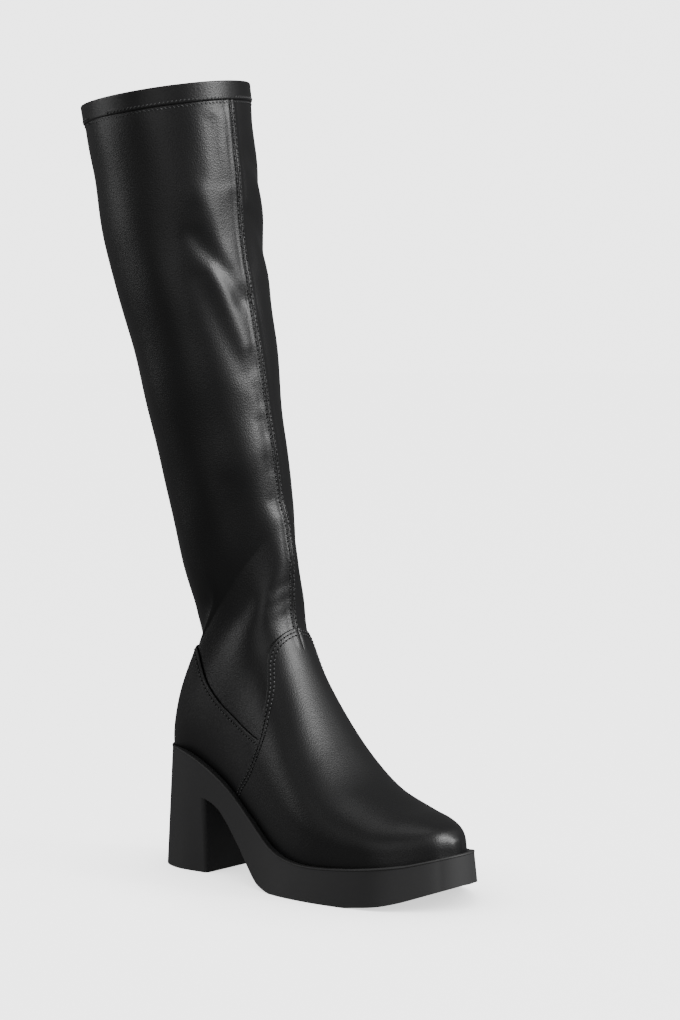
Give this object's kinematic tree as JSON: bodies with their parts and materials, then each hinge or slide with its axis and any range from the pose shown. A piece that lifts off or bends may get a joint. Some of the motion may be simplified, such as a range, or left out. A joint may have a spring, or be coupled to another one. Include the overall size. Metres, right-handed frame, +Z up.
{
  "type": "knee-high block heel boot",
  "caption": "Knee-high leather-look boot for the right foot: rounded toe, slim ankle, flared open shaft, platform sole with a moulded block heel and a side zip.",
  "frame": {"origin": "centre of the heel block's flat bottom, on the floor", "axes": "+Z up, -Y towards the toe, +X towards the inner (medial) side with the zip, -X towards the outer side"},
  "size_m": [0.1275, 0.287, 0.5157],
  "materials": {
    "sole": "matte black moulded rubber",
    "lining": "black textile lining",
    "upper": "black grained leather-look, soft satin gloss",
    "zip_cloth": "black woven tape with a nylon coil",
    "slider_metal": "black coated zinc",
    "pull_metal": "dark grey coated zinc, worn lighter"
  },
  "bodies": {
    "boot": {"sole_unit": "sole", "insole": "lining", "upper": "upper", "vamp": "upper", "counter": "upper", "zip_tape": "zip_cloth", "zip_slider": "slider_metal"},
    "zip_pull": {"zip_pull": "pull_metal"}
  },
  "joints": [
    {"name": "zip_pull_hinge", "type": "hinge", "parent": "boot", "child": "zip_pull", "pos_m": [0.03647, -0.0248, 0.30082], "axis": [-0.1277, -0.9851, 0.1151], "range_deg": [-5, 160]}
  ]
}
